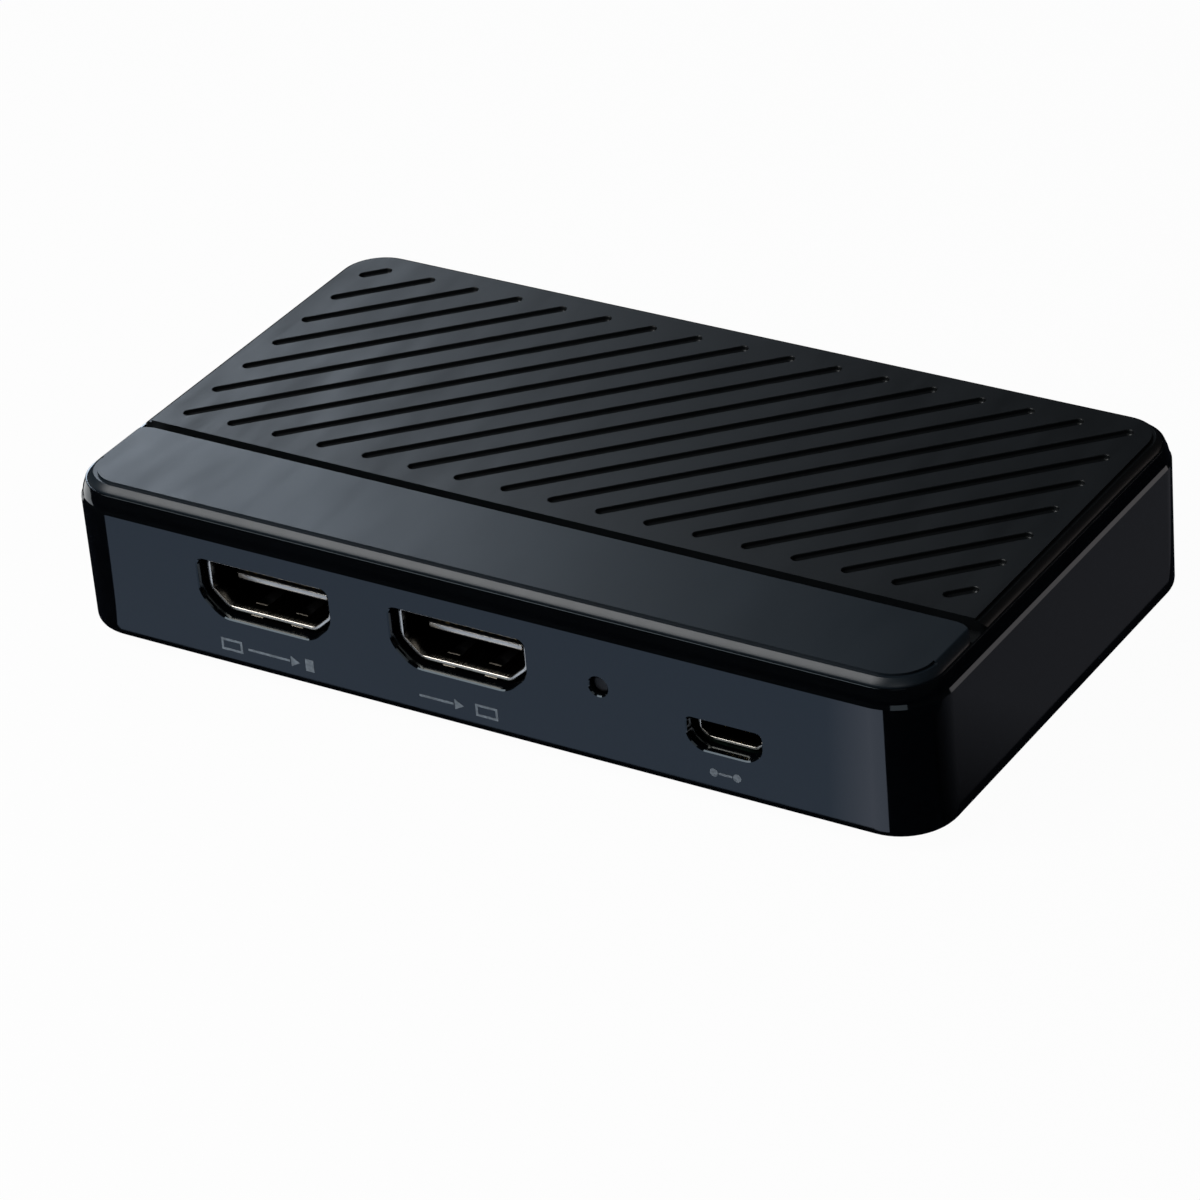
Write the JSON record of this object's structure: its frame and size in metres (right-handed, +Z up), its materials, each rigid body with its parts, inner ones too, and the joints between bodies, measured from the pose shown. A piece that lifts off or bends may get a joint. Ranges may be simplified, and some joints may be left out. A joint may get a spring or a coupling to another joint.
{
  "type": "video capture box",
  "caption": "Flat black video capture box with a ribbed top, two large video sockets, a small data socket and a status light.",
  "frame": {"origin": "on the table, under the middle of the case", "axes": "+X along the case, to the right when facing the sockets; +Y from the socket wall to the back; +Z up"},
  "size_m": [0.1, 0.057, 0.0188],
  "materials": {
    "gloss_shell": "glossy black moulded plastic",
    "matt_plate": "matt black plastic with a fine grain",
    "satin_plate": "satin dark grey plastic",
    "screw_steel": "zinc-plated steel",
    "board_laminate": "green laminate with a solder mask",
    "socket_steel": "nickel-plated folded steel",
    "socket_plastic": "black moulded insulator",
    "contact_gold": "gold-plated contacts",
    "led_package": "white lamp package",
    "clear_plastic": "clear moulded pin",
    "pad_rubber": "soft heat pad",
    "sink_aluminium": "black anodised aluminium",
    "lead_tin": "tinned metal",
    "ferrite": "moulded grey ferrite",
    "can_aluminium": "drawn aluminium can",
    "foot_rubber": "soft black rubber",
    "chip_resin": "black moulded resin",
    "ceramic": "tan fired ceramic",
    "resistor_body": "black coated chips with bare ends"
  },
  "bodies": {
    "root": {"lower_housing": "gloss_shell", "top_cover": "gloss_shell", "ribbed_panel": "matt_plate", "front_strip": "satin_plate", "case_screws": "screw_steel", "board_screws": "screw_steel", "main_board": "board_laminate", "hdmi_out_shell": "socket_steel", "hdmi_in_shell": "socket_steel", "usb_shell": "socket_steel", "hdmi_out_insulator": "socket_plastic", "hdmi_in_insulator": "socket_plastic", "usb_insulator": "socket_plastic", "hdmi_out_contacts": "contact_gold", "hdmi_in_contacts": "contact_gold", "usb_contacts": "contact_gold", "status_led": "led_package", "light_pipe": "clear_plastic", "thermal_pad": "pad_rubber", "heat_sink": "sink_aluminium", "flash_leads": "lead_tin", "main_crystal": "lead_tin", "usb_crystal": "lead_tin", "power_inductors": "ferrite", "can_capacitors": "can_aluminium", "foot_front_left": "foot_rubber", "foot_front_right": "foot_rubber", "foot_back_left": "foot_rubber", "foot_back_right": "foot_rubber", "video_processor": "chip_resin", "hdmi_receiver_chip": "chip_resin", "hdmi_splitter_chip": "chip_resin", "memory_chip_front": "chip_resin", "memory_chip_back": "chip_resin", "flash_chip": "chip_resin", "voltage_regulators": "chip_resin", "esd_arrays": "chip_resin", "ceramic_capacitors": "ceramic", "resistors": "resistor_body"}
  },
  "joints": []
}
